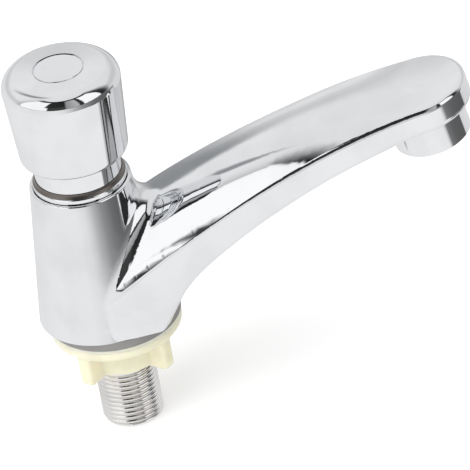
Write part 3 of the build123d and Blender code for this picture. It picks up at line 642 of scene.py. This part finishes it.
class TAP_OT_set_stage(bpy.types.Operator):
    """Lay the pale floor, set the studio light and stand the camera"""

    bl_idname = "tap.set_stage"
    bl_label = "Set the Stage"

    def execute(self, context):
        stage = context.scene.tap_stage
        self.lay_floor(stage, tuple(context.scene.tap_finishes.floor))
        self.hang_lamps(stage)
        self.light_studio(stage)
        self.hang_flags()
        self.lay_card(stage)
        self.stand_camera(stage)
        context.scene.view_settings.view_transform = "Standard"
        return {"FINISHED"}

    def lay_floor(self, stage, colour):
        """The pale floor, which takes the tap's shadow and glows a little to the camera."""
        glow = 0.28
        shape = bmesh.new()
        bmesh.ops.create_grid(shape, x_segments=2, y_segments=2, size=3.0)
        bmesh.ops.translate(shape, vec=(0, 0, stage.floor_height), verts=shape.verts)
        floor = placed(shape, "studio_floor")
        floor.visible_glossy = False
        material, tree, shader, place = start_material("Studio Floor")
        cloud = put(tree, "ShaderNodeTexNoise", -600, 0)
        cloud.inputs["Scale"].default_value = 3
        tree.links.new(place, cloud.inputs["Vector"])
        tint = mix_node(tree, cloud.outputs["Fac"], colour, tinted(colour, 0.99), -300, 100)
        tree.links.new(tint, shader.inputs["Base Color"])
        shader.inputs["Roughness"].default_value = 1
        shader.inputs["Specular IOR Level"].default_value = 0
        path = put(tree, "ShaderNodeLightPath", -600, -400)
        shader.inputs["Emission Color"].default_value = (1, 1, 1, 1)
        tree.links.new(math_node(tree, "MULTIPLY", -300, -400, path.outputs["Is Camera Ray"], glow),
                       shader.inputs["Emission Strength"])
        floor.data.materials.append(material)

    def hang_lamps(self, stage):
        """A large soft lamp overhead and a weaker one at the left."""
        aim = Vector((0.03, 0, 0.02))
        side_share = 0.35
        for name, place, size, power in (
                ("overhead_lamp", Vector((-0.25, -0.35, 1.1)), 0.9, stage.lamp_power),
                ("side_lamp", Vector((-0.9, -0.6, 0.5)), 0.7, side_share * stage.lamp_power)):
            lamp = bpy.data.lights.new(name, "AREA")
            lamp.size = size
            lamp.energy = power
            holder = bpy.data.objects.new(name, lamp)
            holder.location = place
            holder.rotation_euler = (aim - place).to_track_quat("-Z", "Y").to_euler()
            holder.visible_glossy = False
            bpy.context.scene.collection.objects.link(holder)

    def hang_card(self, name, matrix, colour):
        """A card that only reflections see; its opacity is left to the caller."""
        shape = bmesh.new()
        bmesh.ops.create_grid(shape, x_segments=4, y_segments=4, size=0.5)
        bmesh.ops.transform(shape, verts=shape.verts, matrix=matrix)
        card = placed(shape, name)
        card.visible_camera = False
        card.visible_diffuse = False
        card.visible_shadow = False
        card.visible_transmission = False
        material, tree, shader, place = start_material(name)
        shader.inputs["Base Color"].default_value = (0, 0, 0, 1)
        shader.inputs["Specular IOR Level"].default_value = 0
        shader.inputs["Roughness"].default_value = 1
        shader.inputs["Emission Color"].default_value = colour
        shader.inputs["Emission Strength"].default_value = 1
        card.data.materials.append(material)
        return tree, shader, place

    def hang_flags(self):
        """Dim cards behind the head, which shade the spout's top at the valley."""
        self.hang_flag("studio_flag", left=(-0.024, -0.012), right=(0.015, 0.062),
                       bottom=(0.0, 0.03), top=(0.084, 0.102))
        self.hang_flag("studio_high_flag", left=(-0.088, -0.064), right=(-0.044, -0.026),
                       bottom=(0.145, 0.2), top=(0.25, 0.34))

    def hang_flag(self, name, left, right, bottom, top):
        """An upright card that fades in at its left and bottom and out at its right and top."""
        distance, dim = 0.058, (0.26, 0.27, 0.28, 1)
        width, height = right[1] - left[0], top[1] - bottom[0]
        centre = Matrix.Translation((left[0] + width / 2, distance, bottom[0] + height / 2))
        upright = Matrix.Rotation(pi / 2, 4, "X") @ Matrix.Diagonal((width, height, 1, 1))
        tree, shader, place = self.hang_card(name, centre @ upright, dim)
        parts = put(tree, "ShaderNodeSeparateXYZ", -700, 0)
        tree.links.new(place, parts.inputs[0])
        veil = 0.9
        for level, (axis, rising, falling) in enumerate((("X", left, right), ("Z", bottom, top))):
            y = -300 * level
            inside = step_node(tree, parts.outputs[axis], *rising, -550, y)
            past = step_node(tree, parts.outputs[axis], *falling, -550, y - 150)
            before = math_node(tree, "SUBTRACT", -400, y - 150, 1.0, past)
            inside = math_node(tree, "MULTIPLY", -300, y, inside, veil)
            veil = math_node(tree, "MULTIPLY", -150, y, inside, before)
        tree.links.new(veil, shader.inputs["Alpha"])

    def lay_card(self, stage):
        """A white card on the floor beside the thread, faded towards its edge."""
        above_floor, white = 0.0004, (0.88, 0.88, 0.88, 1)
        flat = (Matrix.Translation((0.044, -0.03, stage.floor_height + above_floor))
                @ Matrix.Diagonal((0.06, 0.13, 1, 1)))
        tree, shader, place = self.hang_card("studio_card", flat, white)
        middle = put(tree, "ShaderNodeVectorMath", -600, 0, operation="DISTANCE")
        tree.links.new(place, middle.inputs[0])
        middle.inputs[1].default_value = (0.02, -0.006, stage.floor_height)
        faded = step_node(tree, middle.outputs["Value"], 0.012, 0.026, -400, 0)
        tree.links.new(math_node(tree, "SUBTRACT", -200, 0, 1.0, faded), shader.inputs["Alpha"])

    def light_studio(self, stage):
        """The studio that the chrome reflects, by the turn and the rise of a ray: white paper below, in four
        bands; above it in front a dark opening with two soft boxes under a pale roof; behind, a pale wall.
        Everything but reflections sees an even white."""
        world = bpy.data.worlds.new("Studio")
        bpy.context.scene.world = world
        world.use_nodes = True
        tree = world.node_tree
        tree.nodes.clear()
        place = put(tree, "ShaderNodeTexCoord", -2200, 0)
        parts = put(tree, "ShaderNodeSeparateXYZ", -2000, 0)
        tree.links.new(place.outputs["Generated"], parts.inputs[0])
        front = math_node(tree, "MULTIPLY", -1800, -100, parts.outputs["Y"], -1.0)
        bearing = math_node(tree, "ARCTAN2", -1600, 0, parts.outputs["X"], front)
        turn = math_node(tree, "MULTIPLY_ADD", -1400, 0, bearing, 0.5 / pi, 0.5)
        rise = parts.outputs["Z"]
        soft_box, black = (1.1, 1.1, 1.1, 1), (0.015, 0.015, 0.015, 1)

        opening = ramp_node(tree, turn, opening_stops, -1000, 100)
        box_foot = ramp_node(tree, turn, box_foot_stops, -1000, -50)
        foot = self.up_to(tree, rise, *box_foot_top, -1000, -100)
        opening = mix_node(tree, math_node(tree, "MULTIPLY", -600, -50, foot, box_foot), opening, soft_box,
                           -500, 0)
        edges = math_node(tree, "MAXIMUM", -700, -1400, *(
            self.border(tree, rise, low, high, y) for (low, high), y in zip(opening_borders, (-1300, -1700))))
        opening = mix_node(tree, edges, opening, black, -600, 100)

        below = (0.9, 0.9, 0.9, 1)
        for level, (start, end, stops) in enumerate(paper_bands):
            band = ramp_node(tree, turn, stops, -1000, 800 - 150 * level)
            below = mix_node(tree, step_node(tree, rise, start, end, -800, 900 - 100 * level), below, band,
                             -600, 900 - 100 * level)
        lower = mix_node(tree, step_node(tree, rise, *opening_start, -800, 300), below, opening, -400, 300)
        roof = ramp_node(tree, turn, roof_stops, -1000, -300)
        front_part = mix_node(tree, step_node(tree, rise, *roof_start, -800, -100), lower, roof, -200, 200)

        back_left = ramp_node(tree, rise, back_left_stops, -1000, -700)
        back_right = ramp_node(tree, rise, back_right_stops, -1000, -900)
        right = step_node(tree, parts.outputs["X"], *back_sides, -1000, -1100)
        back = mix_node(tree, right, back_left, back_right, -600, -800)
        behind = step_node(tree, parts.outputs["Y"], *back_start, -800, -500)
        raised = step_node(tree, rise, *back_foot, -800, -650)
        to_back = math_node(tree, "MULTIPLY", -600, -500, behind, raised)
        studio = mix_node(tree, to_back, front_part, back, 0, 100)

        path = put(tree, "ShaderNodeLightPath", -200, 600)
        even = mix_node(tree, path.outputs["Is Glossy Ray"], (1, 1, 1, 1), studio, 200, 300)
        seen = math_node(tree, "MAXIMUM", -100, 800, path.outputs["Is Camera Ray"],
                         path.outputs["Is Glossy Ray"])
        plain = math_node(tree, "MAXIMUM", 50, 800, seen, path.outputs["Is Transmission Ray"])
        strength = put(tree, "ShaderNodeMapRange", 200, 700)
        tree.links.new(plain, strength.inputs["Value"])
        strength.inputs["To Min"].default_value = stage.fill_strength
        strength.inputs["To Max"].default_value = 1
        shell = put(tree, "ShaderNodeBackground", 400, 300)
        tree.links.new(even, shell.inputs["Color"])
        tree.links.new(strength.outputs["Result"], shell.inputs["Strength"])
        output = put(tree, "ShaderNodeOutputWorld", 600, 300)
        tree.links.new(shell.outputs[0], output.inputs["Surface"])

    def up_to(self, tree, value, low, high, x, y):
        """Fall smoothly from 1 to 0 while a value goes from low to high."""
        return math_node(tree, "SUBTRACT", x + 200, y, 1.0, step_node(tree, value, low, high, x, y))

    def border(self, tree, rise, low, high, y):
        """A band between two heights, as a mask."""
        softness = 0.006
        above = step_node(tree, rise, low, low + softness, -1200, y)
        below = self.up_to(tree, rise, high, high + softness, -1200, y - 200)
        return math_node(tree, "MULTIPLY", -900, y, above, below)

    def stand_camera(self, stage):
        """The camera, turned to the tap at the photograph's angle."""
        camera = bpy.data.cameras.new("camera")
        camera.sensor_width = 36
        camera.lens = stage.camera_lens
        camera.clip_end = 20
        holder = bpy.data.objects.new("camera", camera)
        bpy.context.scene.collection.objects.link(holder)
        ahead = Vector((0, cos(stage.camera_tilt), -sin(stage.camera_tilt)))
        side = Vector((1, 0, 0))
        up = side.cross(ahead)
        right = side * cos(stage.camera_roll) + up * sin(stage.camera_roll)
        above = up * cos(stage.camera_roll) - side * sin(stage.camera_roll)
        turn = Matrix((right, above, -ahead)).transposed().to_4x4()
        holder.matrix_world = Matrix.Translation(Vector(stage.camera_place)) @ turn
        bpy.context.scene.camera = holder


class TAP_PT_panel(bpy.types.Panel):
    """Buttons that make the tap's pieces and its studio"""

    bl_idname = "TAP_PT_panel"
    bl_label = "Push Timed Tap"
    bl_space_type = "VIEW_3D"
    bl_region_type = "UI"
    bl_category = "Tap"

    def draw(self, context):
        layout = self.layout
        scene = context.scene
        for group in (scene.tap_sizes, scene.tap_finishes, scene.tap_stage):
            box = layout.box()
            for key in group.bl_rna.properties.keys():
                if key not in ("rna_type", "name"):
                    box.prop(group, key)
        for operator in operators:
            layout.operator(operator.bl_idname)


operators = (TAP_OT_finish_nodes, TAP_OT_cut_thread, TAP_OT_mould_nut, TAP_OT_wind_spring, TAP_OT_set_stage)
property_groups = (TapSizes, TapFinishes, TapStage)


def register():
    for item in property_groups + operators + (TAP_PT_panel,):
        bpy.utils.register_class(item)
    bpy.types.Scene.tap_sizes = bpy.props.PointerProperty(type=TapSizes)
    bpy.types.Scene.tap_finishes = bpy.props.PointerProperty(type=TapFinishes)
    bpy.types.Scene.tap_stage = bpy.props.PointerProperty(type=TapStage)


def unregister():
    del bpy.types.Scene.tap_stage
    del bpy.types.Scene.tap_finishes
    del bpy.types.Scene.tap_sizes
    for item in reversed(property_groups + operators + (TAP_PT_panel,)):
        bpy.utils.unregister_class(item)


def main():
    register()
    bpy.ops.tap.finish_nodes()
    bpy.ops.tap.cut_thread()
    bpy.ops.tap.mould_nut()
    bpy.ops.tap.wind_spring()
    bpy.ops.tap.set_stage()


if __name__ == "__main__":
    main()
